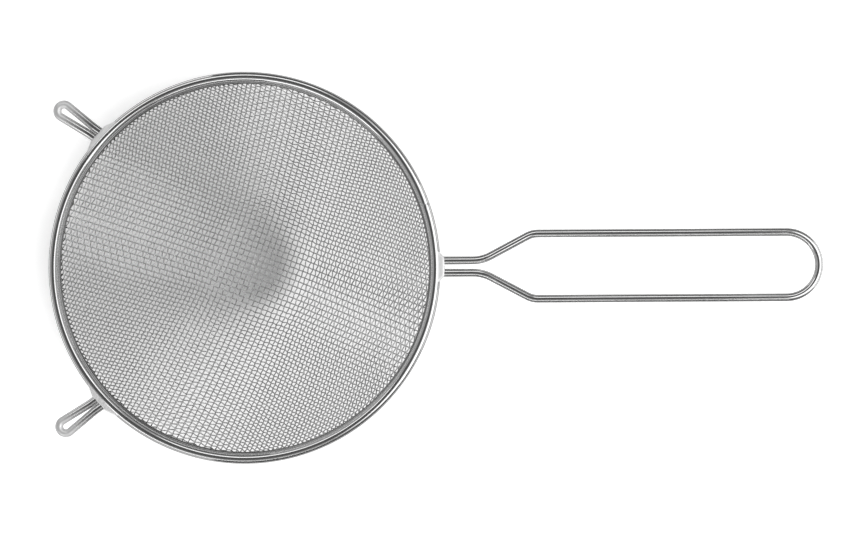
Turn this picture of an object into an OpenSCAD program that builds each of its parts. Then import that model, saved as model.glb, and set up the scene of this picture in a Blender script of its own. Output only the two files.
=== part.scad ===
// Conical strainer: a cone of woven wire cloth held in a wire ring with one long wire handle.
// Rim level, tip down, handle along +X. Lengths are in millimetres.
// The origin is the centre of the rim, on the plane that the ring, handle and rest loops lie on.

/* [Rim] */
// Outside diameter of the rim
rim_d = 200; // [160:5:240]
// Diameter of the round wire of the ring
ring_wire_d = 5; // [4:0.1:6]
// Diameter of the round wire of the handle and the rest loops
wire_d = 4.2; // [3.4:0.1:5]

/* [Cone] */
// Diameter of one wire of the cloth
cloth_wire_d = 0.7; // [0.4:0.05:0.9]
// Radius of the rounded nose
nose_r = 43; // [35:1:50]
// Slope of the cloth where the nose runs into the wall, from level
nose_angle = 52; // [44:1:56]
// Slope of the wall just under the rim, from level
wall_angle = 66; // [60:1:74]
// Radius of the bend from the wall to the upright edge
edge_bend_r = 5; // [2:0.5:10]
// Angle between the weave and the handle
weave_turn = -20.6; // [-45:0.1:45]
// Width of one of the coarse openings that stand for the weave, seen from above
opening_w = 11.8; // [8:0.1:20]
// Width of the bars between two openings, seen from above
opening_bar = 3.5; // [2:0.1:6]

/* [Hoop] */
// Thickness of the strip that is folded over the edge of the cloth
strip_t = 0.5; // [0.3:0.05:0.8]
// How far the hoop stands in from the ring, seen from above
hoop_show = 0.9; // [0.4:0.1:1.4]
// Height of the short inner lip, below the fold
lip_h = 0.8; // [0.4:0.1:3]
// Height of the outer skirt, below the fold
skirt_h = 6; // [4:0.5:10]
// Clearance on each side of the cloth inside the fold
cloth_gap = 0.05; // [0.02:0.01:0.15]

/* [Handle] */
// Length of the handle from the rim to its far end
handle_len = 195.3; // [150:5:240]
// Outside width of the handle
handle_w = 37.5; // [30:0.5:44]
// Space between the two wires where they leave the rim
neck_space = 2.1; // [1:0.1:4]
// Straight length of the neck from the rim
neck_len = 16.4; // [8:0.5:24]
// Angle at which the wires spread apart
spread_angle = 28; // [20:1:40]
// Radius of the bend at the neck
neck_bend_r = 20; // [10:1:24]
// Radius of the bend at the shoulder
shoulder_bend_r = 12; // [8:1:16]

/* [Rest loops] */
// Angle between the front of the rim and the root of each rest loop
rest_angle = 42.7; // [30:1:60]
// Angle by which each rest loop leans to the front, off the radius
rest_lean = 7; // [0:1:12]
// Distance from the middle of the ring wire to the centre of the end bend
rest_reach = 24.6; // [18:0.1:32]
// Width of the slot at its end bend
rest_slot_w = 2.6; // [1.5:0.1:3.5]
// Length at the root over which the two legs lie side by side
rest_root_len = 7.9; // [5:0.1:10]
// Space between the two legs at the root
rest_root_gap = 0.1; // [0.05:0.05:0.3]

/* [Welds] */
// Gap between the ring and the cut end of a wire, and on two sides of a tack weld
butt_gap = 0.05; // [0.02:0.01:0.2]
// How much thinner a weld bead is than the wire
bead_inset = 0.2; // [0.1:0.05:0.5]
// How far the handle's weld stands out from the ring
handle_bead_out = 2.3; // [1.5:0.1:3]
// How far a rest loop's weld stands out from the ring
rest_bead_out = 1.4; // [0.8:0.1:2]
// How far a weld reaches past the wires that it holds
bead_reach = 2.2; // [1:0.1:4]
// How far the thin tail of a rest loop's weld runs on along the ring
bead_tail = 4.5; // [2:0.5:8]
// Number of tack welds that hold the hoop to the ring
tack_count = 12; // [6:1:18]
// Radius of a tack weld
tack_r = 0.8; // [0.6:0.05:1]
// Length of a tack weld along the ring
tack_len = 4; // [2:0.5:6]

/* [Hidden] */
round_fn = 96;
$fn = round_fn;
sweep_fn = 360;
nose_steps = 14;
wall_steps = 12;
bend_steps = 5;
wire_sides = 24;
step_angle = 5;
tight_step_angle = 12;

// The ring wire, and the thinner wire of the handle and the loops
ring_wire_r = ring_wire_d / 2;
wire_r = wire_d / 2;
rim_r = rim_d / 2;
ring_r = rim_r - ring_wire_r;

// The hoop: its round fold seats in the lower inner quarter of the ring wire
cloth_t = 2 * cloth_wire_d;
fold_in_r = cloth_t / 2 + cloth_gap;
fold_out_r = fold_in_r + strip_t;
fold_x = ring_r - ring_wire_r - hoop_show + fold_out_r;
fold_z = ring_wire_r - sqrt(pow(ring_wire_r + fold_out_r, 2) - pow(ring_r - fold_x, 2));
skirt_z = fold_z - skirt_h;

// The cloth's middle surface, as arcs that run into each other: edge bend, wall, nose
bend_in = edge_bend_r * (1 - sin(wall_angle));
wall_top_x = fold_x - bend_in;
wall_top_z = skirt_z - edge_bend_r * cos(wall_angle);
nose_edge_x = nose_r * sin(nose_angle);
wall_r = (wall_top_x - nose_edge_x) / (sin(wall_angle) - sin(nose_angle));
nose_edge_z = wall_top_z - wall_r * (cos(nose_angle) - cos(wall_angle));
tip_z = nose_edge_z - nose_r * (1 - cos(nose_angle));

// The openings start beside the two bars that cross at the tip, and end half a bar inside the edge bend
opening_pitch = opening_w + opening_bar;
openings_r = wall_top_x - opening_bar / 2;
openings_reach = ceil(openings_r / opening_pitch);

// A tack weld's place, beside the skirt and under the ring wire
tack_x = fold_x + fold_out_r + butt_gap + tack_r;
tack_z = ring_wire_r - sqrt(pow(ring_wire_r + butt_gap + tack_r, 2) - pow(ring_r - tack_x, 2));

// The handle's line, for the wire on the +Y side
handle_end = rim_r + handle_len;
neck_y = (neck_space + wire_d) / 2;
leg_y = (handle_w - wire_d) / 2;
neck_end_x = rim_r + neck_len;
neck_rise = neck_bend_r * (1 - cos(spread_angle));
shoulder_rise = shoulder_bend_r * (1 - cos(spread_angle));
slant_rise = leg_y - neck_y - neck_rise - shoulder_rise;
slant_x0 = neck_end_x + neck_bend_r * sin(spread_angle);
slant_x1 = slant_x0 + slant_rise / tan(spread_angle);
leg_x0 = slant_x1 + shoulder_bend_r * sin(spread_angle);
leg_x1 = handle_end - wire_r - leg_y;

// The rest loop's line, along its own axis from the middle of the ring wire
rest_y = (wire_d + rest_root_gap) / 2;
rest_bend_r = (rest_slot_w + wire_d) / 2;
rest_run = rest_reach - rest_root_len;
rest_taper = asin(rest_bend_r / norm([rest_run, rest_y])) - atan2(rest_y, rest_run);
rest_turn = 180 - rest_angle;
rest_start = (ring_wire_r + butt_gap) / cos(rest_lean);

// The weld beads lie along the outside of the ring
bead_r = wire_r - bead_inset;
handle_bead_half = neck_y + wire_r + bead_reach;
rest_bead_half = rest_y + wire_r + bead_reach;

STEEL = [0.80, 0.81, 0.82];
CLOTH = [0.58, 0.60, 0.62];
STRIP = [0.66, 0.68, 0.70];
WELD = [0.70, 0.69, 0.67];

// Round wire along a line in the rim plane. Each stop is [x, y, direction of the wire, turn of the cut there]
module wire(stops) {
    last = len(stops) - 1;
    points = [for (s = stops) for (i = [0:wire_sides - 1])
        let (across = wire_r * cos(360 * i / wire_sides) / cos(s[3]), side = s[2] + 90 + s[3])
        [s.x + across * cos(side), s.y + across * sin(side), wire_r + wire_r * sin(360 * i / wire_sides)]];
    function at(ring, i) = ring * wire_sides + i % wire_sides;
    skin = [for (ring = [0:last - 1]) for (i = [0:wire_sides - 1])
        each [[at(ring, i), at(ring + 1, i + 1), at(ring, i + 1)],
            [at(ring, i), at(ring + 1, i), at(ring + 1, i + 1)]]];
    first_cap = [for (i = [1:wire_sides - 2]) [at(0, 0), at(0, i), at(0, i + 1)]];
    last_cap = [for (i = [1:wire_sides - 2]) [at(last, 0), at(last, i + 1), at(last, i)]];
    polyhedron(points, concat(skin, first_cap, last_cap), convexity = 6);
}

// Stops of a bend round a centre, from one direction of the wire to another, turning left or right
function bend(centre, r, from, to, step) =
    let (left = sign(to - from), count = ceil(abs(to - from) / step))
    [for (i = [0:count])
        let (a = from + (to - from) * i / count)
        [centre.x + left * r * sin(a), centre.y - left * r * cos(a), a, 0]];

// The same line on the other side of the X axis, walked the other way
function mirrored(stops) = [for (i = [len(stops) - 1:-1:0])
    [stops[i].x, -stops[i].y, 180 - stops[i][2], -stops[i][3]]];

// Straight round bar used to cut the seat of a wire in a weld
module seat(x, y, h) {
    translate([x, y, wire_r])
        rotate([0, 90, 0])
            cylinder(r = wire_r, h = h);
}

// Full turn of the ring wire
module ring_body() {
    translate([0, 0, ring_wire_r])
        rotate_extrude($fn = sweep_fn)
            translate([ring_r, 0])
                circle(r = ring_wire_r, $fn = round_fn);
}

module ring_wire() {
    color(STEEL) ring_body();
}

function cloth_point(x, z, slope, side) = [x + side * sin(slope), z - side * cos(slope)];

// One face of the cloth from its top edge down to the tip, side being the distance off the middle
function cloth_face(side) = concat(
    [[fold_x + side, fold_z]],
    [for (i = [0:bend_steps])
        let (a = 90 - (90 - wall_angle) * i / bend_steps)
        cloth_point(fold_x - edge_bend_r * (1 - sin(a)), skirt_z - edge_bend_r * cos(a), a, side)],
    [for (i = [1:wall_steps])
        let (a = wall_angle - (wall_angle - nose_angle) * i / wall_steps)
        cloth_point(wall_top_x - wall_r * (sin(wall_angle) - sin(a)),
            wall_top_z - wall_r * (cos(a) - cos(wall_angle)), a, side)],
    [for (i = [1:nose_steps])
        let (a = nose_angle * (1 - i / nose_steps))
        cloth_point(nose_r * sin(a), nose_edge_z - nose_r * (cos(a) - cos(nose_angle)), a, side)]
);

function reversed(list) = [for (i = [len(list) - 1:-1:0]) list[i]];

// Distance from the axis to the near side of a span that is one opening wide
function near_side(start) = min(abs(start), abs(start + opening_w));

// Coarse square openings along the weave, seen from above
module weave_openings() {
    intersection() {
        circle(r = openings_r);
        rotate(weave_turn)
            for (i = [-openings_reach:openings_reach - 1], j = [-openings_reach:openings_reach - 1]) {
                x = i * opening_pitch + opening_bar / 2;
                y = j * opening_pitch + opening_bar / 2;
                if (norm([near_side(x), near_side(y)]) < openings_r - opening_bar)
                    translate([x, y]) square(opening_w);
            }
    }
}

// Woven wire cloth pressed into a cone: a shell as thick as the cloth, with coarse openings for its mesh
module mesh_cone() {
    color(CLOTH)
        difference() {
            rotate_extrude()
                polygon(concat(cloth_face(cloth_t / 2), reversed(cloth_face(-cloth_t / 2))));
            translate([0, 0, tip_z - cloth_t])
                linear_extrude(skirt_z - tip_z + cloth_t)
                    weave_openings();
        }
}

// Strip folded over the edge of the cloth: round fold on top, short lip inside, tall skirt outside
module rim_hoop() {
    color(STRIP)
        rotate_extrude()
            translate([fold_x, fold_z])
                difference() {
                    union() {
                        circle(r = fold_out_r);
                        translate([-fold_out_r, -lip_h]) square([fold_out_r, lip_h]);
                        translate([0, -skirt_h]) square([fold_out_r, skirt_h]);
                    }
                    circle(r = fold_in_r);
                    translate([-fold_in_r, -2 * skirt_h]) square([2 * fold_in_r, 2 * skirt_h]);
                    translate([-2 * fold_out_r, -2 * skirt_h]) square([2 * fold_out_r, 2 * skirt_h - lip_h]);
                }
}

// Half of the handle on the +Y side, from the rim out: neck, two bends, straight leg
function handle_half() = concat(
    [[rim_r + butt_gap, neck_y, 0, 0]],
    bend([neck_end_x, neck_y + neck_bend_r], neck_bend_r, 0, spread_angle, step_angle),
    bend([leg_x0, leg_y - shoulder_bend_r], shoulder_bend_r, spread_angle, 0, step_angle));

// One wire bent double, its two cut ends butted to the outside of the ring
module handle_wire() {
    bow = bend([leg_x1, 0], leg_y, 0, -180, step_angle);
    color(STEEL) wire(concat(handle_half(), bow, mirrored(handle_half())));
}

// Stops of one leg of a rest loop on its own axis: its cut end along the ring, and where it starts to spread
function rest_cut(side, heading) =
    [rest_start + side * rest_y * tan(rest_lean), side * rest_y, heading, -rest_lean];
function rest_spread(side, heading) = [rest_root_len, side * rest_y, heading, 0];

// Moves a rest loop from its own axis to its root on the ring
module at_rest_root() {
    rotate([0, 0, rest_turn])
        translate([ring_r, 0, 0])
            rotate([0, 0, rest_lean])
                children();
}

// Narrow hairpin of wire that catches on the far edge of a pot
module rest_loop() {
    out = [rest_cut(1, 0), rest_spread(1, rest_taper / 2)];
    tip = bend([rest_reach, 0], rest_bend_r, rest_taper, -180 - rest_taper, tight_step_angle);
    back = [rest_spread(-1, 180 - rest_taper / 2), rest_cut(-1, 180)];
    color(STEEL)
        at_rest_root()
            wire(concat(out, tip, back));
}

module rest_loop_right() {
    rest_loop();
}

module rest_loop_left() {
    mirror([0, 1, 0]) rest_loop();
}

// Weld metal along the outside of the ring: how far it stands out, and half its length
module bead(out, half) {
    r = rim_r + out - bead_r;
    turn = asin(half / rim_r);
    translate([0, 0, wire_r])
        rotate([0, 0, -turn])
            rotate_extrude(angle = 2 * turn, $fn = sweep_fn)
                translate([r, 0])
                    circle(r = bead_r, $fn = round_fn);
}

// Weld that joins both ends of the handle to the ring
module handle_weld() {
    color(WELD)
        difference() {
            bead(handle_bead_out, handle_bead_half);
            ring_body();
            for (side = [-1, 1]) seat(rim_r + butt_gap, side * neck_y, neck_len);
        }
}

// Weld that joins one rest loop to the ring, with a thin tail each way
module rest_weld() {
    color(WELD)
        difference() {
            rotate([0, 0, rest_turn]) {
                bead(rest_bead_out, rest_bead_half);
                bead(rest_bead_out / 2, rest_bead_half + bead_tail);
            }
            ring_body();
            at_rest_root()
                for (y = [-rest_y, rest_y])
                    seat(rest_start + (y - wire_r) * tan(rest_lean), y, rest_root_len);
        }
}

module rest_weld_right() {
    rest_weld();
}

module rest_weld_left() {
    mirror([0, 1, 0]) rest_weld();
}

// Short tack welds in the groove between the skirt of the hoop and the underside of the ring
module hoop_tacks() {
    turn = tack_len / ring_r * 180 / PI;
    color(WELD)
        for (i = [0:tack_count - 1])
            rotate([0, 0, (i + 0.5) * 360 / tack_count - turn / 2])
                rotate_extrude(angle = turn)
                    translate([tack_x, tack_z])
                        circle(r = tack_r);
}

mesh_cone();
rim_hoop();
ring_wire();
handle_wire();
rest_loop_left();
rest_loop_right();
handle_weld();
rest_weld_left();
rest_weld_right();
hoop_tacks();
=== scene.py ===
"""A conical wire strainer: woven cone, folded hoop, wire ring, bent wire handle, rest loops and welds."""

import math
import bpy
import numpy as np
from bpy.props import FloatProperty, FloatVectorProperty, IntProperty, PointerProperty
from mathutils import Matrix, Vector


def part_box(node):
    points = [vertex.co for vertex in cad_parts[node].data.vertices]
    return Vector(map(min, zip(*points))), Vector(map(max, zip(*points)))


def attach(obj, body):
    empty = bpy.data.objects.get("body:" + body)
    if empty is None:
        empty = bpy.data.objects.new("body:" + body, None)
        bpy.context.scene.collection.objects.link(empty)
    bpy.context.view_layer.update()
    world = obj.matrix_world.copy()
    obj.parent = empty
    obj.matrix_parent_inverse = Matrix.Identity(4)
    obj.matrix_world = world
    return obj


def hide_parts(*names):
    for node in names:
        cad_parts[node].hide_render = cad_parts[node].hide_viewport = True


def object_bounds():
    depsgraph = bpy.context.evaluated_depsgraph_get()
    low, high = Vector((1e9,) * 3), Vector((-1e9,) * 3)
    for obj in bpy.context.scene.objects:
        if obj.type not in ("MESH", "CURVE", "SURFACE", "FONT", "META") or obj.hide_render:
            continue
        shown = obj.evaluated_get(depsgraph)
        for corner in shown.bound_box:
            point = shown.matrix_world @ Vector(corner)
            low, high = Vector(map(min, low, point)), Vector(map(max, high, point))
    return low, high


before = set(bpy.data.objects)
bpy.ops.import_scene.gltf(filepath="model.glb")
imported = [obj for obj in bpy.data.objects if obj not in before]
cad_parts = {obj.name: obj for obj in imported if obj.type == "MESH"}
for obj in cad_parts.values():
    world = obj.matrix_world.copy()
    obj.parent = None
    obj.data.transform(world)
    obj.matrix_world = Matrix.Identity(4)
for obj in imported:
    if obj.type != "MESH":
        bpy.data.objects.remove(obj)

bl_info = {
    "name": "Conical Strainer",
    "version": (1, 0, 0),
    "blender": (4, 5, 0),
    "location": "3D View > Sidebar > Strainer",
    "description": "Builds a conical wire strainer around its packed model",
    "category": "Add Mesh",
}

CAD_LOW, CAD_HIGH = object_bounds()
RING_LOW, RING_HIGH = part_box("ring_wire")
HANDLE_LOW, HANDLE_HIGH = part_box("handle_wire")
HOOP_LOW, HOOP_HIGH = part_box("rim_hoop")
MM = 0.001


def length(name, description, default):
    """A length in metres, shown in the scene's own unit."""
    return FloatProperty(name=name, description=description, default=default, precision=5, subtype="DISTANCE")


def angle(name, description, degrees):
    """An angle, given here in degrees."""
    return FloatProperty(name=name, description=description, default=math.radians(degrees), subtype="ANGLE")


def share(name, description, default):
    """A plain number."""
    return FloatProperty(name=name, description=description, default=default, precision=3)


def tint(name, description, default):
    """A colour without alpha."""
    return FloatVectorProperty(name=name, description=description, default=default, size=3, subtype="COLOR")


class RimSizes(bpy.types.PropertyGroup):
    """The ring wire and the folded hoop under it."""

    rim_r: length("Rim radius", "Outside radius of the ring", RING_HIGH.x)
    wire_d: length("Ring wire", "Diameter of the round wire of the ring", RING_HIGH.z - RING_LOW.z)
    show: length("Hoop shows", "How far the hoop stands in from the ring", 0.9 * MM)
    strip_t: length("Strip", "Thickness of the hoop's strip", 0.5 * MM)
    fold_in_r: length("Fold", "Inside radius of the hoop's fold", 0.75 * MM)
    lip_h: length("Lip", "Height of the hoop's inner lip", 0.8 * MM)
    skirt_h: length("Skirt", "Height of the hoop's outer skirt", 6 * MM)
    joint_angle: angle("Ring joint", "Where the ring's two ends are butted, from the handle", 19)
    joint_gap: length("Joint gap", "Gap between the ring's two ends", 0.06 * MM)
    joint_edge: length("Joint edge", "Width of the worn edge of each end", 0.1 * MM)


class ClothSizes(bpy.types.PropertyGroup):
    """The woven wire cloth."""

    wire_d: length("Cloth wire", "Diameter of one wire of the cloth", 0.7 * MM)
    warp_pitch: length("Warp pitch", "Distance from one warp wire to the next", 3.2 * MM)
    weft_pitch: length("Weft pitch", "Distance from one weft wire to the next", 3.05 * MM)
    turn: angle("Turn", "Angle of the warp wires to the handle, at the tip", -20.6)
    nose_r: length("Nose", "Radius of the rounded nose", 43 * MM)
    nose_angle: angle("Nose slope", "Slope where the nose runs into the wall", 52)
    wall_angle: angle("Wall slope", "Slope of the wall just under the rim", 66)
    edge_bend_r: length("Edge bend", "Radius of the bend from the wall to the upright edge", 5 * MM)
    steps: IntProperty(name="Steps", description="Rings of a wire from one crossing to the next", default=4)
    wander: length("Wander", "How far a wire strays from its place", 0.035 * MM)
    pieces: IntProperty(name="Pieces", description="Pieces that each set of wires is kept in", default=3)


class HandleSizes(bpy.types.PropertyGroup):
    """The bent wire handle."""

    wire_d: length("Wire", "Diameter of the wire of the handle and the loops", HANDLE_HIGH.z - HANDLE_LOW.z)
    neck_space: length("Neck space", "Space between the two wires at the rim", 2.1 * MM)
    neck_len: length("Neck", "Straight length of the neck from the rim", 16.4 * MM)
    spread: angle("Spread", "Angle at which the wires spread apart", 28)
    neck_bend_r: length("Neck bend", "Radius of the bend at the neck", 20 * MM)
    shoulder_bend_r: length("Shoulder bend", "Radius of the bend at the shoulder", 12 * MM)
    bow_steps: IntProperty(name="Bow steps", description="Rings of the wire round the end bow", default=48)


class RestLoopSizes(bpy.types.PropertyGroup):
    """The two hairpin loops opposite the handle."""

    root_angle: angle("Root", "Angle from the front of the rim to the root", 42.7)
    lean: angle("Lean", "Lean of the loop towards the front", 7)
    reach: length("Reach", "From the middle of the ring wire to the centre of the end bend", 24.6 * MM)
    slot_w: length("Slot", "Width of the slot at its end bend", 2.6 * MM)
    root_len: length("Root length", "Length over which the legs lie side by side", 7.9 * MM)
    root_gap: length("Root gap", "Space between the legs at the root", 0.1 * MM)


class WeldSizes(bpy.types.PropertyGroup):
    """The weld metal."""

    handle_out: length("Handle weld", "How far the handle's weld stands out from the ring", 2.1 * MM)
    handle_half: length("Handle weld half", "Half width of the handle's weld at its face", 4.7 * MM)
    handle_flare: length("Handle flare", "How much further the handle's weld reaches at the ring", 4.6 * MM)
    rest_flare: length("Rest flare", "How much further a rest loop's weld reaches at the ring", 9.5 * MM)
    crown: length("Crown", "How far a weld stands over the wires that it holds", 0.4 * MM)
    rest_out: length("Rest weld", "How far a rest loop's weld stands out from the ring", 1.4 * MM)
    rest_half: length("Rest weld half", "Half width of a rest loop's weld at its face", 4.9 * MM)
    grain: length("Grain", "Size of the cells that the weld is smoothed with", 0.16 * MM)


class Finishes(bpy.types.PropertyGroup):
    """Colours of the metals."""

    wire: tint("Wire", "Bright drawn wire", (0.80, 0.80, 0.80))
    cloth: tint("Cloth", "Fine wire of the cloth", (0.78, 0.78, 0.78))
    strip: tint("Strip", "Rolled strip of the hoop", (0.34, 0.34, 0.34))
    # The dark colour below is painted shade, laid inside the hoop's fold and on the cloth inside the hoop, where shade
    # falls in the crevice.
    painted_shade: tint("Painted_shade", "Old residue inside the hoop's fold", (0.12, 0.12, 0.11))
    weld: tint("Weld", "Weld metal", (0.92, 0.92, 0.92))


class StageSizes(bpy.types.PropertyGroup):
    """The camera, the floor and the light."""

    camera_height: length("Camera height", "Height of the camera over the middle of the ring wire", 1.3)
    camera_x: length("Camera place", "Where the camera stands along the handle", 93.35 * MM)
    camera_y: length("Camera aside", "How far the camera stands off the handle's line", -0.38 * MM)
    frame_w: length("Frame width", "Width of the picture in the plane of the rim", 436.2 * MM)
    roll: angle("Roll", "Turn of the camera about its own axis", -0.33)
    floor_r: length("Floor", "Radius of the floor", 9.0)
    floor: tint("Floor colour", "Colour of the floor", (0.86, 0.86, 0.86))
    floor_glow: share("Floor glow", "How far the floor lights itself", 0.1)
    # shade_x, shade_r, white_r and white place the painted light that whitens the floor round the strainer, over its
    # shadow.
    shade_x: length("Shade place", "Middle of the shade along the handle's line", -9 * MM)
    shade_r: length("Shade", "Radius round that place inside which the floor keeps its plain shade", 98 * MM)
    white_r: length("White", "Radius from which the floor is seen white", 134 * MM)
    white: share("White glow", "How far the floor glows to white from there on", 0.7)
    room: share("Room", "Brightness of the room round the set", 0.38)


# Material nodes

def new_material(name):
    """An empty material with its node tree, its shader and its links."""
    material = bpy.data.materials.new(name)
    material.use_nodes = True
    tree = material.node_tree
    return material, tree, tree.nodes["Principled BSDF"]


def add_node(tree, kind, **values):
    """A node of a kind, with its settings, or the defaults of its inputs where the name is an input's."""
    made = tree.nodes.new(kind)
    for name, value in values.items():
        if name in made.inputs:
            made.inputs[name].default_value = value
        else:
            setattr(made, name, value)
    return made


def calculate(tree, operation, first, second):
    """One sum or comparison of a socket with another socket or a number."""
    made = add_node(tree, "ShaderNodeMath", operation=operation)
    for source, socket in ((first, made.inputs[0]), (second, made.inputs[1])):
        if isinstance(source, (int, float)):
            socket.default_value = source
        else:
            tree.links.new(source, socket)
    return made.outputs["Value"]


def between(tree, source, low, high):
    """A factor from 0 to 1 turned into a number from low to high."""
    ramp = add_node(tree, "ShaderNodeMapRange", **{"To Min": low, "To Max": high})
    tree.links.new(source, ramp.inputs["Value"])
    return ramp.outputs["Result"]


def pattern(tree, place, scale, detail, stretch=(1, 1, 1)):
    """Noise at a place, drawn out along an axis by a stretch."""
    mapping = add_node(tree, "ShaderNodeMapping", Scale=stretch)
    noise = add_node(tree, "ShaderNodeTexNoise", Scale=scale, Detail=detail)
    tree.links.new(place, mapping.inputs["Vector"])
    tree.links.new(mapping.outputs["Vector"], noise.inputs["Vector"])
    return noise.outputs["Fac"]


def tinted(tree, factor, colour, low, high):
    """A colour that grows darker and lighter with a factor."""
    mix = add_node(tree, "ShaderNodeMix", data_type="RGBA")
    mix.inputs["A"].default_value = (*[c * low for c in colour], 1)
    mix.inputs["B"].default_value = (*[min(1, c * high) for c in colour], 1)
    tree.links.new(factor, mix.inputs["Factor"])
    return mix.outputs["Result"]


def drawn_wire_metal(colour):
    """Bright drawn wire: fine lines along the wire, soft patches of wear, and small nicks."""
    material, tree, shader = new_material("drawn wire")
    place = add_node(tree, "ShaderNodeAttribute", attribute_name="straight").outputs["Vector"]
    lines = pattern(tree, place, 2600, 3, (0.02, 1, 1))
    patches = pattern(tree, place, 90, 4, (0.5, 1, 1))
    tree.links.new(tinted(tree, patches, colour, 0.92, 1.04), shader.inputs["Base Color"])
    worn = add_node(tree, "ShaderNodeAttribute", attribute_name="worn").outputs["Fac"]
    tree.links.new(between(tree, worn, 1, 0.6), shader.inputs["Metallic"])
    roughness = add_node(tree, "ShaderNodeMix", data_type="FLOAT", B=0.34)
    tree.links.new(worn, roughness.inputs["Factor"])
    tree.links.new(between(tree, patches, 0.04, 0.12), roughness.inputs["A"])
    tree.links.new(roughness.outputs["Result"], shader.inputs["Roughness"])
    bump = add_node(tree, "ShaderNodeBump", Strength=0.2, Distance=0.00002)
    tree.links.new(lines, bump.inputs["Height"])
    tree.links.new(bump.outputs["Normal"], shader.inputs["Normal"])
    return material


def cloth_wire_metal(colour, painted_shade, unshaded_z, shaded_z):
    """Fine wire of the cloth, a little duller in patches, and darkened with painted shade inside the hoop."""
    material, tree, shader = new_material("cloth wire")
    place = add_node(tree, "ShaderNodeTexCoord").outputs["Object"]
    patches = pattern(tree, place, 60, 3)
    specks = pattern(tree, place, 1400, 2)
    shader.inputs["Metallic"].default_value = 1
    height = add_node(tree, "ShaderNodeSeparateXYZ")
    tree.links.new(place, height.inputs["Vector"])
    # Painted shade: the wire turns to the dark colour from a lower height up to a higher one, and stays dark above it,
    # inside the hoop.
    shade_mask = add_node(tree, "ShaderNodeMapRange", **{"From Min": unshaded_z, "From Max": shaded_z})
    tree.links.new(height.outputs["Z"], shade_mask.inputs["Value"])
    shaded_colour = add_node(tree, "ShaderNodeMix", data_type="RGBA")
    shaded_colour.inputs["B"].default_value = (*painted_shade, 1)
    tree.links.new(shade_mask.outputs["Result"], shaded_colour.inputs["Factor"])
    tree.links.new(tinted(tree, patches, colour, 0.9, 1.06), shaded_colour.inputs["A"])
    tree.links.new(shaded_colour.outputs["Result"], shader.inputs["Base Color"])
    tree.links.new(between(tree, specks, 0.10, 0.22), shader.inputs["Roughness"])
    return material


def strip_metal(colour, painted_shade, inside):
    """Rolled strip with a satin face, darkened with painted shade inside the fold, from one radius to another below a
    height.
    """
    material, tree, shader = new_material("rolled strip")
    place = add_node(tree, "ShaderNodeTexCoord").outputs["Object"]
    patches = pattern(tree, place, 120, 4)
    lines = pattern(tree, place, 900, 2, (1, 1, 6))
    shader.inputs["Metallic"].default_value = 1
    flat = add_node(tree, "ShaderNodeVectorMath", operation="MULTIPLY")
    flat.inputs[1].default_value = (1, 1, 0)
    tree.links.new(place, flat.inputs[0])
    radius = add_node(tree, "ShaderNodeVectorMath", operation="LENGTH")
    tree.links.new(flat.outputs["Vector"], radius.inputs[0])
    height = add_node(tree, "ShaderNodeSeparateXYZ")
    tree.links.new(place, height.inputs["Vector"])
    low, high, top = inside
    # Painted shade: the strip takes the dark colour between two radii and below a height, inside the fold.
    shade_mask = calculate(tree, "GREATER_THAN", radius.outputs["Value"], low)
    shade_mask = calculate(tree, "MULTIPLY", shade_mask, calculate(tree, "LESS_THAN", radius.outputs["Value"], high))
    shade_mask = calculate(tree, "MULTIPLY", shade_mask, calculate(tree, "LESS_THAN", height.outputs["Z"], top))
    shaded_colour = add_node(tree, "ShaderNodeMix", data_type="RGBA")
    shaded_colour.inputs["B"].default_value = (*painted_shade, 1)
    tree.links.new(shade_mask, shaded_colour.inputs["Factor"])
    tree.links.new(tinted(tree, patches, colour, 0.88, 1.05), shaded_colour.inputs["A"])
    tree.links.new(shaded_colour.outputs["Result"], shader.inputs["Base Color"])
    tree.links.new(between(tree, lines, 0.08, 0.16), shader.inputs["Roughness"])
    bump = add_node(tree, "ShaderNodeBump", Strength=0.3, Distance=0.00003)
    tree.links.new(lines, bump.inputs["Height"])
    tree.links.new(bump.outputs["Normal"], shader.inputs["Normal"])
    return material


def weld_metal(colour):
    """Smooth fused metal, satin, with a faint ripple."""
    material, tree, shader = new_material("weld metal")
    place = add_node(tree, "ShaderNodeTexCoord").outputs["Object"]
    ripple = pattern(tree, place, 700, 3)
    shader.inputs["Metallic"].default_value = 0.65
    tree.links.new(tinted(tree, ripple, colour, 0.92, 1.05), shader.inputs["Base Color"])
    tree.links.new(between(tree, ripple, 0.42, 0.58), shader.inputs["Roughness"])
    bump = add_node(tree, "ShaderNodeBump", Strength=0.3, Distance=0.00006)
    tree.links.new(ripple, bump.inputs["Height"])
    tree.links.new(bump.outputs["Normal"], shader.inputs["Normal"])
    return material


# Pieces

def settle(piece, name, material, slot, *nodes):
    """Names a finished piece, gives it its metal and ties it to the frame."""
    piece.name = name
    piece.data.name = name
    piece.data.materials.clear()
    piece.data.materials.append(material)
    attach(piece, "root")
    if nodes:
        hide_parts(*nodes)


def apply_all(piece):
    """Applies the modifiers of a piece in their order."""
    for modifier in list(piece.modifiers):
        bpy.ops.object.modifier_apply(modifier=modifier.name)


def smooth(piece, degrees):
    """Shades a piece smooth, but for edges sharper than an angle."""
    bpy.ops.object.select_all(action="DESELECT")
    piece.select_set(True)
    bpy.context.view_layer.objects.active = piece
    bpy.ops.object.shade_smooth_by_angle(angle=math.radians(degrees))


def start_wire(radius, place, heading, sides):
    """A circle round the start of a wire, in edit mode and selected."""
    bpy.ops.object.select_all(action="DESELECT")
    bpy.ops.mesh.primitive_circle_add(
        vertices=sides, radius=radius, location=place, rotation=(0, math.pi / 2, heading)
    )
    bpy.ops.object.transform_apply(location=True, rotation=True, scale=True)
    bpy.ops.object.mode_set(mode="EDIT")
    bpy.ops.mesh.select_all(action="SELECT")
    return bpy.context.active_object


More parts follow.
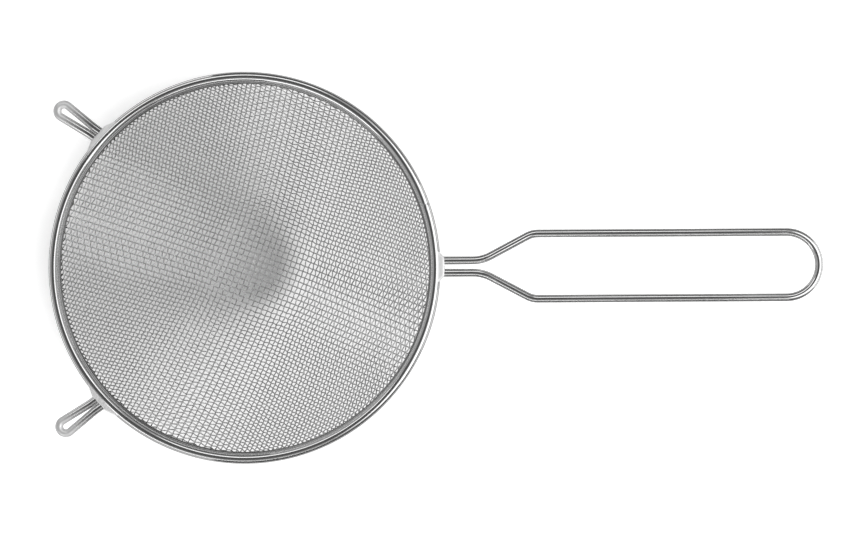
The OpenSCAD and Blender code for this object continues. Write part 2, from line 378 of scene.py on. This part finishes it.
def straight_on(distance, heading):
    """Extrudes the end of the wire straight on."""
    step = (distance * math.cos(heading), distance * math.sin(heading), 0)
    bpy.ops.mesh.extrude_region_move(TRANSFORM_OT_translate={"value": step})


def bend_on(centre, turn, steps):
    """Spins the end of the wire round an upright axis, to the left where the turn is positive."""
    bpy.ops.mesh.spin(steps=steps, angle=-turn, center=centre, axis=(0, 0, 1))


def close_wire(sides):
    """Caps the two ends, points the faces outwards and leaves edit mode."""
    bpy.ops.mesh.select_all(action="SELECT")
    bpy.ops.mesh.fill_holes(sides=sides)
    bpy.ops.mesh.normals_make_consistent(inside=False)
    bpy.ops.object.mode_set(mode="OBJECT")


def mark_straight(piece, sides, radius):
    """Keeps where each point would lie if the wire were straight, for patterns that follow it."""
    points = np.zeros(len(piece.data.vertices) * 3, np.float32)
    piece.data.vertices.foreach_get("co", points)
    rings = points.reshape(-1, sides, 3)
    centres = rings.mean(1)
    along = np.concatenate([[0], np.cumsum(np.linalg.norm(np.diff(centres, axis=0), axis=1))])
    turn = np.arange(sides) * 2 * math.pi / sides
    laid = np.zeros_like(rings)
    laid[:, :, 0] = along[:, None]
    laid[:, :, 1] = radius * np.cos(turn)
    laid[:, :, 2] = radius * np.sin(turn)
    attribute = piece.data.attributes.new("straight", "FLOAT_VECTOR", "POINT")
    attribute.data.foreach_set("vector", laid.astype(np.float32).ravel())


class STRAINER_OT_ring(bpy.types.Operator):
    """Bend the ring wire and butt its ends"""

    bl_idname = "strainer.ring"
    bl_label = "Ring wire"

    sides: IntProperty(name="Sides", default=32)
    steps: IntProperty(name="Steps", default=256)

    def execute(self, context):
        sizes = context.scene.strainer_rim
        wire_r = sizes.wire_d / 2
        ring_r = sizes.rim_r - wire_r
        at = sizes.joint_angle
        place = (ring_r * math.cos(at), ring_r * math.sin(at), wire_r)
        ring = start_wire(wire_r, place, at + math.pi / 2, self.sides)
        bend_on((0, 0, 0), math.tau - sizes.joint_gap / ring_r, self.steps)
        close_wire(self.sides)
        mark_straight(ring, self.sides, wire_r)
        edges = ring.modifiers.new("edges", "BEVEL")
        edges.width = sizes.joint_edge
        edges.segments = 3
        edges.limit_method = "ANGLE"
        edges.angle_limit = math.radians(60)
        apply_all(ring)
        smooth(ring, 40)
        settle(ring, "ring", bpy.data.materials["drawn wire"], "round_wire", "ring_wire")
        return {"FINISHED"}


class STRAINER_OT_hoop(bpy.types.Operator):
    """Fold the strip over the edge of the cloth"""

    bl_idname = "strainer.hoop"
    bl_label = "Hoop"

    fold_points: IntProperty(name="Fold points", default=24)
    steps: IntProperty(name="Steps", default=256)

    def execute(self, context):
        sizes = context.scene.strainer_rim
        fold = fold_place(sizes)
        middle_r = sizes.fold_in_r + sizes.strip_t / 2
        bpy.ops.object.select_all(action="DESELECT")
        bpy.ops.mesh.primitive_circle_add(
            vertices=self.fold_points,
            radius=middle_r,
            location=(fold.x, 0, fold.z),
            rotation=(math.pi / 2, 0, 0),
        )
        bpy.ops.object.transform_apply(location=True, rotation=True, scale=True)
        hoop = bpy.context.active_object
        self.keep_upper_half(hoop, fold)
        self.extend(hoop, fold.x - middle_r, sizes.lip_h)
        self.extend(hoop, fold.x + middle_r, sizes.skirt_h)
        bpy.ops.object.mode_set(mode="EDIT")
        bpy.ops.mesh.select_all(action="SELECT")
        bpy.ops.mesh.spin(steps=self.steps, angle=math.tau, center=(0, 0, 0), axis=(0, 0, 1))
        bpy.ops.mesh.select_all(action="SELECT")
        bpy.ops.mesh.remove_doubles(threshold=0.00001)
        bpy.ops.mesh.normals_make_consistent(inside=False)
        bpy.ops.object.mode_set(mode="OBJECT")
        wall = hoop.modifiers.new("wall", "SOLIDIFY")
        wall.thickness = sizes.strip_t
        wall.offset = 0
        wall.use_even_offset = True
        edges = hoop.modifiers.new("edges", "BEVEL")
        edges.width = sizes.strip_t / 5
        edges.segments = 2
        edges.limit_method = "ANGLE"
        edges.angle_limit = math.radians(60)
        apply_all(hoop)
        smooth(hoop, 35)
        settle(hoop, "hoop", bpy.data.materials["rolled strip"], "hoop_strip", "rim_hoop")
        return {"FINISHED"}

    @staticmethod
    def keep_upper_half(hoop, fold):
        """Deletes the points of the circle below its middle."""
        bpy.ops.object.mode_set(mode="EDIT")
        bpy.ops.mesh.select_mode(type="VERT")
        bpy.ops.mesh.select_all(action="DESELECT")
        bpy.ops.object.mode_set(mode="OBJECT")
        for vertex in hoop.data.vertices:
            vertex.select = vertex.co.z < fold.z - 0.01 * MM
        bpy.ops.object.mode_set(mode="EDIT")
        bpy.ops.mesh.delete(type="VERT")
        bpy.ops.object.mode_set(mode="OBJECT")

    @staticmethod
    def extend(hoop, x, height):
        """Extrudes the open end that stands at x straight down."""
        end = min(hoop.data.vertices, key=lambda v: (abs(v.co.x - x) > 0.01 * MM, v.co.z)).index
        for vertex in hoop.data.vertices:
            vertex.select = vertex.index == end
        bpy.ops.object.mode_set(mode="EDIT")
        bpy.ops.mesh.extrude_vertices_move(TRANSFORM_OT_translate={"value": (0, 0, -height)})
        bpy.ops.object.mode_set(mode="OBJECT")


def fold_place(sizes):
    """The centre of the hoop's fold in the plane of the handle: it touches the ring wire from below."""
    wire_r = sizes.wire_d / 2
    ring_r = sizes.rim_r - wire_r
    fold_r = sizes.fold_in_r + sizes.strip_t
    x = ring_r - wire_r - sizes.show + fold_r
    return Vector((x, 0, wire_r - math.sqrt((wire_r + fold_r) ** 2 - (ring_r - x) ** 2)))


class STRAINER_OT_handle(bpy.types.Operator):
    """Bend one wire double for the handle"""

    bl_idname = "strainer.handle"
    bl_label = "Handle"

    sides: IntProperty(name="Sides", default=32)

    def execute(self, context):
        rim, sizes = context.scene.strainer_rim, context.scene.strainer_handle
        wire_r = sizes.wire_d / 2
        neck_y = sizes.neck_space / 2 + wire_r
        leg_y = HANDLE_HIGH.y - wire_r
        rise = (1 - math.cos(sizes.spread)) * (sizes.neck_bend_r + sizes.shoulder_bend_r)
        slant = (leg_y - neck_y - rise) / math.sin(sizes.spread)
        neck_end = rim.rim_r + sizes.neck_len
        bends = (sizes.neck_bend_r + sizes.shoulder_bend_r) * math.sin(sizes.spread)
        leg_x0 = neck_end + bends + slant * math.cos(sizes.spread)
        leg_x1 = HANDLE_HIGH.x - wire_r - leg_y
        start = HANDLE_LOW.x
        neck_centre = (neck_end, neck_y + sizes.neck_bend_r, 0)
        shoulder_centre = (leg_x0, leg_y - sizes.shoulder_bend_r, 0)
        steps = max(6, round(sizes.spread / math.radians(3)))

        handle = start_wire(wire_r, (start, neck_y, wire_r), 0, self.sides)
        straight_on(neck_end - start, 0)
        bend_on(neck_centre, sizes.spread, steps)
        straight_on(slant, sizes.spread)
        bend_on(shoulder_centre, -sizes.spread, steps)
        straight_on(leg_x1 - leg_x0, 0)
        bend_on((leg_x1, 0, 0), -math.pi, sizes.bow_steps)
        straight_on(leg_x1 - leg_x0, math.pi)
        bend_on((leg_x0, sizes.shoulder_bend_r - leg_y, 0), -sizes.spread, steps)
        straight_on(slant, math.pi - sizes.spread)
        bend_on((neck_end, -neck_y - sizes.neck_bend_r, 0), sizes.spread, steps)
        straight_on(neck_end - start, math.pi)
        close_wire(self.sides)
        mark_straight(handle, self.sides, wire_r)
        smooth(handle, 40)
        settle(handle, "handle", bpy.data.materials["drawn wire"], "round_wire", "handle_wire")
        return {"FINISHED"}


class STRAINER_OT_rest_loops(bpy.types.Operator):
    """Bend the two hairpin loops that rest on the far edge of a pot"""

    bl_idname = "strainer.rest_loops"
    bl_label = "Rest loops"

    sides: IntProperty(name="Sides", default=32)
    steps: IntProperty(name="Steps", default=40)

    def execute(self, context):
        scene = context.scene
        for side, node in ((1, "rest_loop_right"), (-1, "rest_loop_left")):
            loop = self.bend_loop(scene.strainer_rim, scene.strainer_rest, scene.strainer_handle.wire_d / 2, side)
            settle(loop, node.replace("rest_loop", "rest"), bpy.data.materials["drawn wire"], "round_wire", node)
        return {"FINISHED"}

    def bend_loop(self, rim, sizes, wire_r, side):
        """One loop: out along one leg, round the end bend and back. Side is 1 for +Y and -1 for -Y."""
        ring_r = rim.rim_r - rim.wire_d / 2
        leg_y = wire_r + sizes.root_gap / 2
        bend_r = sizes.slot_w / 2 + wire_r
        run = sizes.reach - sizes.root_len
        taper = math.asin(bend_r / math.hypot(run, leg_y)) - math.atan2(leg_y, run)
        leg = math.sqrt(run * run + leg_y * leg_y - bend_r * bend_r)
        root_turn = math.pi - sizes.root_angle
        heading = root_turn + sizes.lean

        def place(x, y):
            """A point on the loop's own axes, in the frame."""
            return (
                ring_r * math.cos(root_turn) + x * math.cos(heading) - y * math.sin(heading),
                side * (ring_r * math.sin(root_turn) + x * math.sin(heading) + y * math.cos(heading)),
                wire_r,
            )

        hand = 1 if side > 0 else -1
        start = rim.wire_d * 0.45
        kink_r = 6 * wire_r
        kink_len = kink_r * math.tan(taper / 2)
        loop = start_wire(wire_r, place(start, leg_y), side * heading, self.sides)
        straight_on(sizes.root_len - kink_len - start, side * heading)
        bend_on(place(sizes.root_len - kink_len, leg_y + kink_r), hand * taper, 3)
        straight_on(leg - kink_len, side * (heading + taper))
        bend_on(place(sizes.reach, 0), -hand * (math.pi + 2 * taper), self.steps)
        straight_on(leg - kink_len, side * (heading + math.pi - taper))
        bend_on(place(sizes.root_len - kink_len, -leg_y - kink_r), hand * taper, 3)
        straight_on(sizes.root_len - kink_len - start, side * (heading + math.pi))
        close_wire(self.sides)
        mark_straight(loop, self.sides, wire_r)
        self.mark_worn(loop, Vector(place(sizes.reach, 0)), bend_r + wire_r)
        smooth(loop, 40)
        return loop

    @staticmethod
    def mark_worn(loop, centre, reach):
        """Marks the end bend, which rests on pots, as worn matt."""
        worn = loop.data.attributes.new("worn", "FLOAT", "POINT")
        for vertex, mark in zip(loop.data.vertices, worn.data):
            mark.value = min(1, max(0, 2.6 - 1.6 * (vertex.co - centre).length / reach))


# The cloth

class ClothForm:
    """The middle surface of the cloth, by the length along its slope from the tip."""

    def __init__(self, rim, cloth):
        fold = fold_place(rim)
        skirt_z = fold.z - rim.skirt_h
        wall_x = fold.x - cloth.edge_bend_r * (1 - math.sin(cloth.wall_angle))
        wall_z = skirt_z - cloth.edge_bend_r * math.cos(cloth.wall_angle)
        nose_x = cloth.nose_r * math.sin(cloth.nose_angle)
        wall_r = (wall_x - nose_x) / (math.sin(cloth.wall_angle) - math.sin(cloth.nose_angle))
        nose_z = wall_z - wall_r * (math.cos(cloth.nose_angle) - math.cos(cloth.wall_angle))
        arcs = (
            (cloth.nose_r, 0, cloth.nose_angle),
            (wall_r, cloth.nose_angle, cloth.wall_angle),
            (cloth.edge_bend_r, cloth.wall_angle, math.pi / 2),
        )
        x, z = 0, nose_z - cloth.nose_r * (1 - math.cos(cloth.nose_angle))
        points, slopes = [(x, z)], [0]
        for radius, low, high in arcs:
            for turn in np.linspace(low, high, 60)[1:]:
                points.append(
                    (x + radius * (math.sin(turn) - math.sin(low)), z + radius * (math.cos(low) - math.cos(turn)))
                )
                slopes.append(turn)
            x, z = points[-1]
        points += [(x, fold.z), (x, fold.z + cloth.warp_pitch * 2)]
        slopes += [math.pi / 2] * 2
        self.points, self.slopes = np.array(points), np.array(slopes)
        steps = np.linalg.norm(np.diff(self.points, axis=0), axis=1)
        self.run = np.concatenate([[0], np.cumsum(steps)])
        self.end = self.run[-2]

    def at(self, uv):
        """Places and outward normals of points whose distance from the tip is their length along the slope."""
        run = np.maximum(np.hypot(uv[..., 0], uv[..., 1]), 1e-9)
        x = np.interp(run, self.run, self.points[:, 0])
        z = np.interp(run, self.run, self.points[:, 1])
        slope = np.interp(run, self.run, self.slopes)
        way = uv / run[..., None]
        place = np.concatenate([way * x[..., None], z[..., None]], -1)
        normal = np.concatenate([way * np.sin(slope)[..., None], -np.cos(slope)[..., None]], -1)
        return place, normal


def quarter_net(form, warp_step, weft_step):
    """Crossings of one quarter of the cloth: each lies a step along either wire from the two before it."""
    count = int(form.run[-1] / min(warp_step, weft_step)) + 1
    net = np.full((count, count, 2), np.nan)
    net[:, 0] = np.stack([np.arange(count) * warp_step, np.zeros(count)], 1)
    net[0, :] = np.stack([np.zeros(count), np.arange(count) * weft_step], 1)
    for diagonal in range(2, 2 * count - 1):
        i = np.arange(max(1, diagonal - count + 1), min(count - 1, diagonal - 1) + 1)
        j = diagonal - i
        guess = net[i - 1, j] + net[i, j - 1] - net[i - 1, j - 1]
        known = np.isfinite(guess).all(1)
        i, j, guess = i[known], j[known], guess[known]
        if len(i) == 0:
            break
        found = meet(form, guess, net[i - 1, j], net[i, j - 1], warp_step, weft_step)
        found[np.hypot(found[:, 0], found[:, 1]) > form.run[-1]] = np.nan
        net[i, j] = found
    beyond = np.hypot(net[..., 0], net[..., 1]) > form.run[-1]
    net[beyond] = np.nan
    return net


def meet(form, guess, warp_from, weft_from, warp_step, weft_step):
    """Points of the cloth that lie a warp step from one set of points and a weft step from another."""
    nudge = 1e-6
    start_a, start_b = form.at(warp_from)[0], form.at(weft_from)[0]

    def miss(uv):
        place = form.at(uv)[0]
        return np.stack(
            [
                np.linalg.norm(place - start_a, axis=1) - warp_step,
                np.linalg.norm(place - start_b, axis=1) - weft_step,
            ],
            1,
        )

    for _ in range(8):
        now = miss(guess)
        by_u = (miss(guess + [nudge, 0]) - now) / nudge
        by_v = (miss(guess + [0, nudge]) - now) / nudge
        scale = by_u[:, 0] * by_v[:, 1] - by_v[:, 0] * by_u[:, 1]
        scale = np.where(np.abs(scale) < 1e-3, 1e-3, scale)
        step = np.stack(
            [
                (now[:, 0] * by_v[:, 1] - now[:, 1] * by_v[:, 0]) / scale,
                (by_u[:, 0] * now[:, 1] - by_u[:, 1] * now[:, 0]) / scale,
            ],
            1,
        )
        size = np.linalg.norm(step, axis=1, keepdims=True)
        guess = guess - step * np.minimum(1, 0.5 * warp_step / np.maximum(size, 1e-12))
    return guess


def whole_net(quarter, turn):
    """The four quarters laid round the tip and turned to the way that the cloth lies."""
    count = len(quarter)
    net = np.full((2 * count - 1, 2 * count - 1, 2), np.nan)
    middle = count - 1
    for way_i in (1, -1):
        for way_j in (1, -1):
            i = middle + way_i * np.arange(count)
            j = middle + way_j * np.arange(count)
            net[np.ix_(i, j)] = quarter * [way_i, way_j]
    cos, sin = math.cos(turn), math.sin(turn)
    return np.stack([net[..., 0] * cos - net[..., 1] * sin, net[..., 0] * sin + net[..., 1] * cos], -1)


def wire_line(form, crossings, first_side, crimp, steps):
    """The middle line of one wire through its crossings, over and under in turn, cut off at the edge."""
    count = len(crossings)
    parts = np.linspace(0, 1, steps, endpoint=False)
    before = np.vstack([2 * crossings[0] - crossings[1], crossings, 2 * crossings[-1] - crossings[-2]])
    spots, sides = [], []
    for k in range(count - 1):
        p0, p1, p2, p3 = before[k : k + 4]
        t = parts[:, None]
        spots.append(
            0.5
            * (
                2 * p1
                + (p2 - p0) * t
                + (2 * p0 - 5 * p1 + 4 * p2 - p3) * t**2
                + (3 * p1 - p0 - 3 * p2 + p3) * t**3
            )
        )
        sides.append(np.cos(math.pi * (parts + k)))
    spots = np.vstack([*spots, crossings[-1:]])
    sides = np.concatenate([*sides, [math.cos(math.pi * (count - 1))]])
    inside = np.hypot(spots[:, 0], spots[:, 1]) <= form.end
    if inside.sum() < 2:
        return None
    first, last = np.flatnonzero(inside)[[0, -1]]
    spots, sides = spots[first : last + 1], sides[first : last + 1]
    place, normal = form.at(spots)
    return place - normal * (first_side * crimp * sides)[:, None]


class STRAINER_OT_cloth(bpy.types.Operator):
    """Weave the wire cloth and press it into the cone"""

    bl_idname = "strainer.cloth"
    bl_label = "Wire cloth"

    def execute(self, context):
        rim, sizes = context.scene.strainer_rim, context.scene.strainer_cloth
        form = ClothForm(rim, sizes)
        quarter = quarter_net(form, sizes.weft_pitch, sizes.warp_pitch)
        net = self.stray(whole_net(quarter, sizes.turn), sizes.wander)
        self.lay(form, sizes, net, "warp", 1)
        self.lay(form, sizes, net.transpose(1, 0, 2), "weft", -1)
        return {"FINISHED"}

    @staticmethod
    def stray(net, wander):
        """Lets each wire lie a little off its place, and waver a little along its length."""
        random = np.random.default_rng(7)
        rows = random.normal(0, wander, (net.shape[0], 1, 2)) + random.normal(0, wander, (1, net.shape[1], 2))
        return net + rows + random.normal(0, wander / 2, net.shape)

    def lay(self, form, sizes, net, name, side):
        """Makes one set of wires, which run along the net's first index, in a few pieces."""
        lines = []
        for row in range(net.shape[1]):
            known = np.flatnonzero(np.isfinite(net[:, row, 0]))
            if len(known) < 2:
                continue
            first = known[0]
            line = wire_line(
                form,
                net[first : known[-1] + 1, row],
                side * (1 if (first + row) % 2 else -1),
                sizes.wire_d / 2,
                sizes.steps,
            )
            if line is not None:
                lines.append(line)
        done = np.cumsum([len(line) for line in lines])
        piece_of = np.ceil(done * sizes.pieces / done[-1])
        for piece in range(1, sizes.pieces + 1):
            chosen = [line for line, its_piece in zip(lines, piece_of) if its_piece == piece]
            self.make(chosen, sizes.wire_d / 2, f"cloth_{name}_{piece}")

    def make(self, lines, wire_r, name):
        """A curve with one line for each wire, made a mesh of round wires."""
        curve = bpy.data.curves.new(name, "CURVE")
        curve.dimensions = "3D"
        curve.bevel_depth = wire_r
        curve.bevel_resolution = 1
        curve.use_fill_caps = True
        for line in lines:
            spline = curve.splines.new("POLY")
            spline.points.add(len(line) - 1)
            spline.points.foreach_set("co", np.hstack([line, np.ones((len(line), 1))]).ravel())
            spline.use_smooth = True
        piece = bpy.data.objects.new(name, curve)
        bpy.context.scene.collection.objects.link(piece)
        bpy.ops.object.select_all(action="DESELECT")
        piece.select_set(True)
        bpy.context.view_layer.objects.active = piece
        bpy.ops.object.convert(target="MESH")
        piece = bpy.context.active_object
        smooth(piece, 80)
        settle(piece, name, bpy.data.materials["cloth wire"], "wire_cloth", "mesh_cone")


# The welds

class STRAINER_OT_welds(bpy.types.Operator):
    """Flow the weld metal round the roots of the handle and the rest loops"""

    bl_idname = "strainer.welds"
    bl_label = "Welds"

    def execute(self, context):
        scene = context.scene
        sizes, rest = scene.strainer_weld, scene.strainer_rest
        turn = math.pi - rest.root_angle
        handle = (sizes.handle_out, sizes.handle_half, sizes.handle_flare)
        loop = (sizes.rest_out, sizes.rest_half, sizes.rest_flare)
        self.make(context, "weld_handle", 0, *handle, "handle_weld")
        self.make(context, "weld_rest_right", turn, *loop, "rest_weld_right")
        self.make(context, "weld_rest_left", -turn, *loop, "rest_weld_left")
        return {"FINISHED"}

    def make(self, context, name, turn, out, half, flare, node):
        """One weld: a flattened bead and the stretch of ring beside it, fused and smoothed."""
        rim, sizes = context.scene.strainer_rim, context.scene.strainer_weld
        ring_wire_r = rim.wire_d / 2
        wire_d = context.scene.strainer_handle.wire_d
        ring_r = rim.rim_r - ring_wire_r
        tail = math.radians(9)
        bpy.ops.object.select_all(action="DESELECT")
        start = turn - tail
        core = start_wire(
            ring_wire_r * 0.985,
            (ring_r * math.cos(start), ring_r * math.sin(start), ring_wire_r),
            start + math.pi / 2,
            32,
        )
        bend_on((0, 0, 0), 2 * tail, 36)
        close_wire(32)
        bpy.ops.object.select_all(action="DESELECT")
        bpy.ops.mesh.primitive_cube_add(size=1)
        bead = bpy.context.active_object
        for vertex in bead.data.vertices:
            at_face = vertex.co.x > 0
            vertex.co.x = rim.rim_r + (out if at_face else -ring_wire_r)
            vertex.co.y *= 2 * (half if at_face else half + flare)
            vertex.co.z = sizes.crown / 2 if vertex.co.z < 0 else wire_d + sizes.crown
        bead.rotation_euler.z = turn
        bpy.ops.object.transform_apply(location=False, rotation=True, scale=False)
        round_off = bead.modifiers.new("round", "BEVEL")
        round_off.width = wire_d / 5
        round_off.segments = 6
        apply_all(bead)
        bpy.ops.object.select_all(action="DESELECT")
        core.select_set(True)
        bead.select_set(True)
        bpy.context.view_layer.objects.active = core
        bpy.ops.object.join()
        fused = core.modifiers.new("fused", "REMESH")
        fused.mode = "VOXEL"
        fused.voxel_size = sizes.grain
        flow = core.modifiers.new("flow", "SMOOTH")
        flow.factor = 0.6
        flow.iterations = 40
        apply_all(core)
        smooth(core, 180)
        settle(core, name, bpy.data.materials["weld metal"], "weld_metal", node)


class STRAINER_OT_tacks(bpy.types.Operator):
    """Give the hidden tack welds their metal"""

    bl_idname = "strainer.tacks"
    bl_label = "Tack welds"

    def execute(self, context):
        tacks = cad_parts["hoop_tacks"]
        tacks.data.materials.clear()
        tacks.data.materials.append(bpy.data.materials["weld metal"])
        return {"FINISHED"}


class STRAINER_OT_metals(bpy.types.Operator):
    """Mix the metals"""

    bl_idname = "strainer.metals"
    bl_label = "Metals"

    def execute(self, context):
        colours = context.scene.strainer_finish
        drawn_wire_metal(colours.wire)
        skirt_z = HOOP_LOW.z
        # The heights and radii below place the painted shade: on the cloth from a little under the skirt's lower edge
        # upwards, and on the strip inside its fold.
        cloth_wire_metal(colours.cloth, colours.painted_shade, skirt_z - 2.9 * MM, skirt_z - 1.7 * MM)
        rim = context.scene.strainer_rim
        fold, edge = fold_place(rim), rim.fold_in_r + rim.strip_t / 2
        strip_metal(colours.strip, colours.painted_shade, (fold.x - edge, fold.x + edge, fold.z + rim.fold_in_r + 0.02 * MM))
        weld_metal(colours.weld)
        return {"FINISHED"}


# The stage

class STRAINER_OT_stage(bpy.types.Operator):
    """Set the camera, the floor and the light"""

    bl_idname = "strainer.stage"
    bl_label = "Stage"

    def execute(self, context):
        scene, sizes = context.scene, context.scene.strainer_stage
        scene.view_settings.view_transform = "Standard"
        self.camera(scene, sizes)
        self.floor(sizes)
        self.world(scene, sizes)
        self.softbox("key", -6, 40, 3.0, (3.7, 2.7), 1.15)
        self.softbox("front", -103, 62, 1.3, (1.6, 0.5), 2.0)
        self.softbox("back", 108, 38, 2.4, (2.3, 0.5), 1.3)
        self.softbox("fill", -24, 50, 5.0, (3.7, 2.7), 8.2, mirrored=False)
        self.card("overhead", (-0.78, 0, 2.7), (2.94, 2.6), (0, 0, 0))
        self.card("neck_screen", (0.1, 0, 0.168), (0.14, 0.16), (0, math.pi / 2, 0), 0.35)
        self.card("under", (0.05, 0, CAD_LOW.z + 0.002), (1.4, 1.1), (0, 0, 0), 0.42)
        for name, y in (("flag_front", -0.45), ("flag_back", 0.45)):
            self.card(name, (0.4, y, 0.09), (1.0, 0.36), (math.pi / 2, 0, 0))
        self.card("screen", (-0.4, -0.45, 0.09), (0.6, 0.36), (math.pi / 2, 0, 0), 0.5)
        return {"FINISHED"}

    def camera(self, scene, sizes):
        """A camera that looks straight down."""
        camera = bpy.data.cameras.new("camera")
        camera.sensor_width = 36
        camera.lens = camera.sensor_width * sizes.camera_height / sizes.frame_w
        camera.clip_start = 0.05
        camera.clip_end = 50
        seen_from = bpy.data.objects.new("camera", camera)
        seen_from.location = (sizes.camera_x, sizes.camera_y, sizes.camera_height + scene.strainer_rim.wire_d / 2)
        seen_from.rotation_euler = (0, 0, sizes.roll)
        scene.collection.objects.link(seen_from)
        scene.camera = seen_from

    def floor(self, sizes):
        """A pale floor just under the tip, whitened round the strainer with painted light."""
        bpy.ops.object.select_all(action="DESELECT")
        bpy.ops.mesh.primitive_circle_add(
            vertices=96, radius=sizes.floor_r, fill_type="NGON", location=(0, 0, CAD_LOW.z)
        )
        floor = bpy.context.active_object
        floor.name = "floor"
        material, tree, shader = new_material("floor")
        shader.inputs["Base Color"].default_value = (*sizes.floor, 1)
        shader.inputs["Roughness"].default_value = 1
        shader.inputs["Specular IOR Level"].default_value = 0
        shader.inputs["Emission Color"].default_value = (1, 1, 1, 1)
        tree.links.new(self.backdrop_glow(tree, sizes), shader.inputs["Emission Strength"])
        floor.data.materials.append(material)

    @staticmethod
    def backdrop_glow(tree, sizes):
        """How far the floor glows: a little under the strainer, and to white round it where it is seen. The white
        round it is painted light over the strainer's shadow, so only the shade inside the disc under the strainer
        stays.
        """
        place = add_node(tree, "ShaderNodeTexCoord").outputs["Object"]
        away = add_node(tree, "ShaderNodeVectorMath", operation="DISTANCE")
        tree.links.new(place, away.inputs[0])
        away.inputs[1].default_value = (sizes.shade_x, 0, 0)
        # Painted light: from shade_r out to white_r the floor glows up to white, over the strainer's shadow.
        ramp = add_node(
            tree, "ShaderNodeMapRange", **{"From Min": sizes.shade_r, "From Max": sizes.white_r, "To Max": sizes.white}
        )
        tree.links.new(away.outputs["Value"], ramp.inputs["Value"])
        ray = add_node(tree, "ShaderNodeLightPath")
        seen = ray.outputs["Is Camera Ray"]
        for kind in ("Is Glossy Ray", "Is Transmission Ray"):
            seen = calculate(tree, "ADD", seen, ray.outputs[kind])
        return calculate(tree, "ADD", calculate(tree, "MULTIPLY", seen, ramp.outputs["Result"]), sizes.floor_glow)

    def world(self, scene, sizes):
        """A plain pale room."""
        world = bpy.data.worlds.new("room")
        scene.world = world
        world.use_nodes = True
        background = world.node_tree.nodes["Background"]
        background.inputs["Color"].default_value = (1, 1, 1, 1)
        background.inputs["Strength"].default_value = sizes.room

    def softbox(self, name, azimuth, tilt, distance, size, brightness, mirrored=True):
        """A soft area light that faces the middle of the strainer.

        Azimuth goes from +X, over the handle, to +Y. Tilt is the angle from straight above. Both are in degrees.
        """
        turn, tilt = math.radians(azimuth), math.radians(tilt)
        place = Vector((math.cos(turn) * math.sin(tilt), math.sin(turn) * math.sin(tilt), math.cos(tilt))) * distance
        bpy.ops.object.light_add(type="AREA", location=place, rotation=place.to_track_quat("Z", "Y").to_euler())
        lamp = bpy.context.active_object
        lamp.name = name
        lamp.visible_camera = False
        lamp.visible_glossy = mirrored
        lamp.visible_diffuse = not mirrored
        lamp.data.shape = "RECTANGLE"
        lamp.data.size, lamp.data.size_y = size
        lamp.data.energy = brightness * math.pi * size[0] * size[1]

    def card(self, name, place, size, rotation, glow=0.05):
        """A dark card that only mirrored rays meet, for the dark lines in bright metal."""
        bpy.ops.object.select_all(action="DESELECT")
        bpy.ops.mesh.primitive_plane_add(size=1, location=place, rotation=rotation)
        card = bpy.context.active_object
        card.name = name
        card.scale = (*size, 1)
        bpy.ops.object.transform_apply(location=True, rotation=True, scale=True)
        material, tree, shader = new_material(name)
        shader.inputs["Base Color"].default_value = (0.04, 0.04, 0.04, 1)
        shader.inputs["Roughness"].default_value = 1
        shader.inputs["Emission Color"].default_value = (1, 1, 1, 1)
        shader.inputs["Emission Strength"].default_value = glow
        card.data.materials.append(material)
        card.visible_camera = card.visible_diffuse = card.visible_shadow = False


class STRAINER_PT_sidebar(bpy.types.Panel):
    """Lists the strainer's sizes and the steps that build it"""

    bl_label = "Conical Strainer"
    bl_idname = "STRAINER_PT_sidebar"
    bl_space_type = "VIEW_3D"
    bl_region_type = "UI"
    bl_category = "Strainer"

    def draw(self, context):
        layout = self.layout
        for group in GROUPS:
            box = layout.box()
            settings = getattr(context.scene, group)
            box.label(text=settings.bl_rna.description)
            for name in settings.bl_rna.properties.keys():
                if name not in ("rna_type", "name"):
                    box.prop(settings, name)
        for step in STEPS:
            layout.operator(step.bl_idname)


GROUPS = {
    "strainer_rim": RimSizes,
    "strainer_cloth": ClothSizes,
    "strainer_handle": HandleSizes,
    "strainer_rest": RestLoopSizes,
    "strainer_weld": WeldSizes,
    "strainer_finish": Finishes,
    "strainer_stage": StageSizes,
}
STEPS = (
    STRAINER_OT_metals,
    STRAINER_OT_stage,
    STRAINER_OT_ring,
    STRAINER_OT_hoop,
    STRAINER_OT_cloth,
    STRAINER_OT_handle,
    STRAINER_OT_rest_loops,
    STRAINER_OT_welds,
    STRAINER_OT_tacks,
)


def register():
    for group in GROUPS.values():
        bpy.utils.register_class(group)
    for step in STEPS:
        bpy.utils.register_class(step)
    bpy.utils.register_class(STRAINER_PT_sidebar)
    for name, group in GROUPS.items():
        setattr(bpy.types.Scene, name, PointerProperty(type=group))


def unregister():
    for name in GROUPS:
        delattr(bpy.types.Scene, name)
    bpy.utils.unregister_class(STRAINER_PT_sidebar)
    for step in reversed(STEPS):
        bpy.utils.unregister_class(step)
    for group in reversed(GROUPS.values()):
        bpy.utils.unregister_class(group)


def main():
    register()
    for step in STEPS:
        family, name = step.bl_idname.split(".")
        getattr(getattr(bpy.ops, family), name)()


if __name__ == "__main__":
    main()
